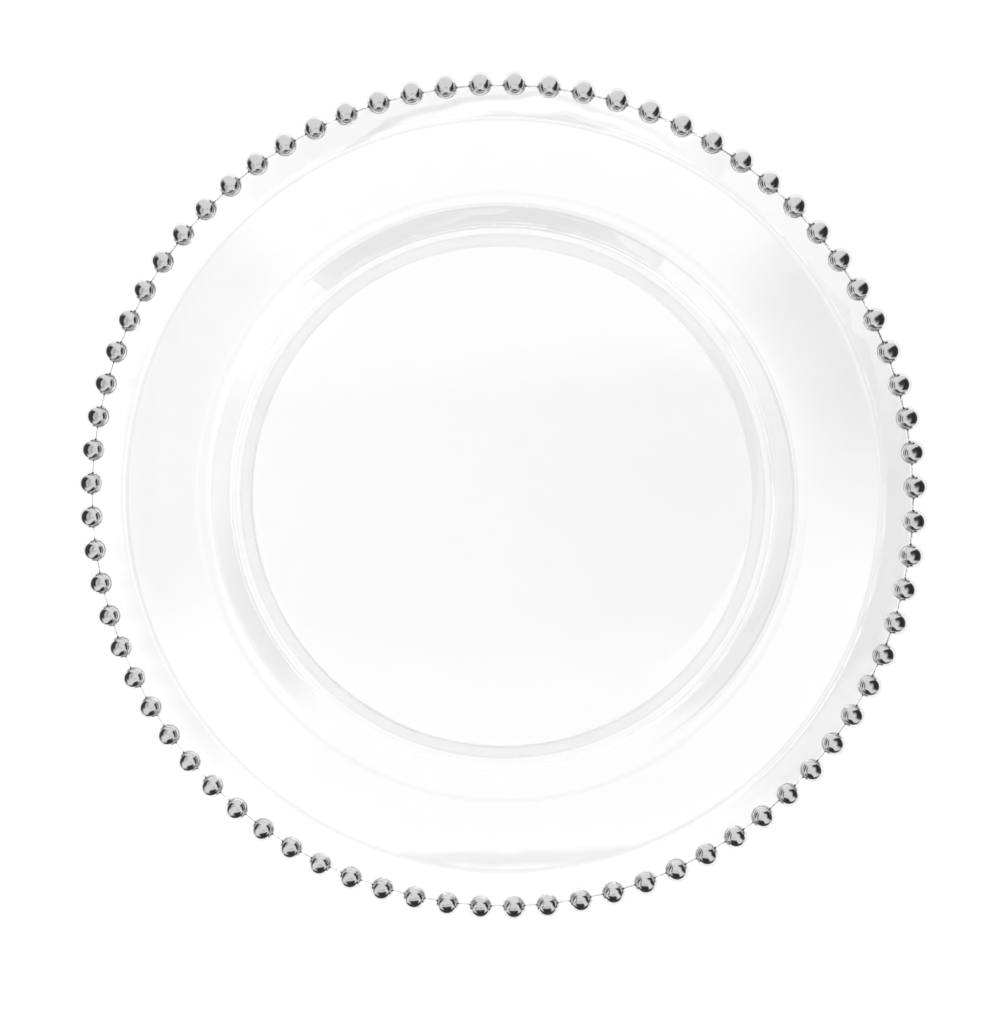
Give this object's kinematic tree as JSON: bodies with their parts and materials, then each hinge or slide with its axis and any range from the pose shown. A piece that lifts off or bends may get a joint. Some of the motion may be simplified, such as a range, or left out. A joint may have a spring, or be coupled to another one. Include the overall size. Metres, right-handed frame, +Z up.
{
  "type": "charger plate",
  "caption": "Round clear glass charger plate with a flat well, a broad flat rim and an up-turned lip edged with silver beads, set under a dinner plate.",
  "frame": {"origin": "centre of the foot ring, on the table", "axes": "+Z up out of the well, along the plate's axis; +X towards the first bead"},
  "size_m": [0.33, 0.33, 0.0252],
  "materials": {
    "clear_glass": "clear, polished",
    "silver": "bright silver plating"
  },
  "bodies": {
    "root": {"glass_plate": "clear_glass", "bead_pair_01": "silver", "bead_pair_02": "silver", "bead_pair_03": "silver", "bead_pair_04": "silver", "bead_pair_05": "silver", "bead_pair_06": "silver", "bead_pair_07": "silver", "bead_pair_08": "silver", "bead_pair_09": "silver", "bead_pair_10": "silver", "bead_pair_11": "silver", "bead_pair_12": "silver", "bead_pair_13": "silver", "bead_pair_14": "silver", "bead_pair_15": "silver", "bead_pair_16": "silver", "bead_pair_17": "silver", "bead_pair_18": "silver", "bead_pair_19": "silver", "bead_pair_20": "silver", "bead_pair_21": "silver", "bead_pair_22": "silver", "bead_pair_23": "silver", "bead_pair_24": "silver", "bead_pair_25": "silver", "bead_pair_26": "silver", "bead_pair_27": "silver", "bead_pair_28": "silver", "bead_pair_29": "silver", "bead_pair_30": "silver", "bead_pair_31": "silver", "bead_pair_32": "silver", "bead_pair_33": "silver", "bead_pair_34": "silver", "bead_pair_35": "silver", "bead_pair_36": "silver", "bead_pair_37": "silver", "bead_pair_38": "silver"}
  },
  "joints": []
}
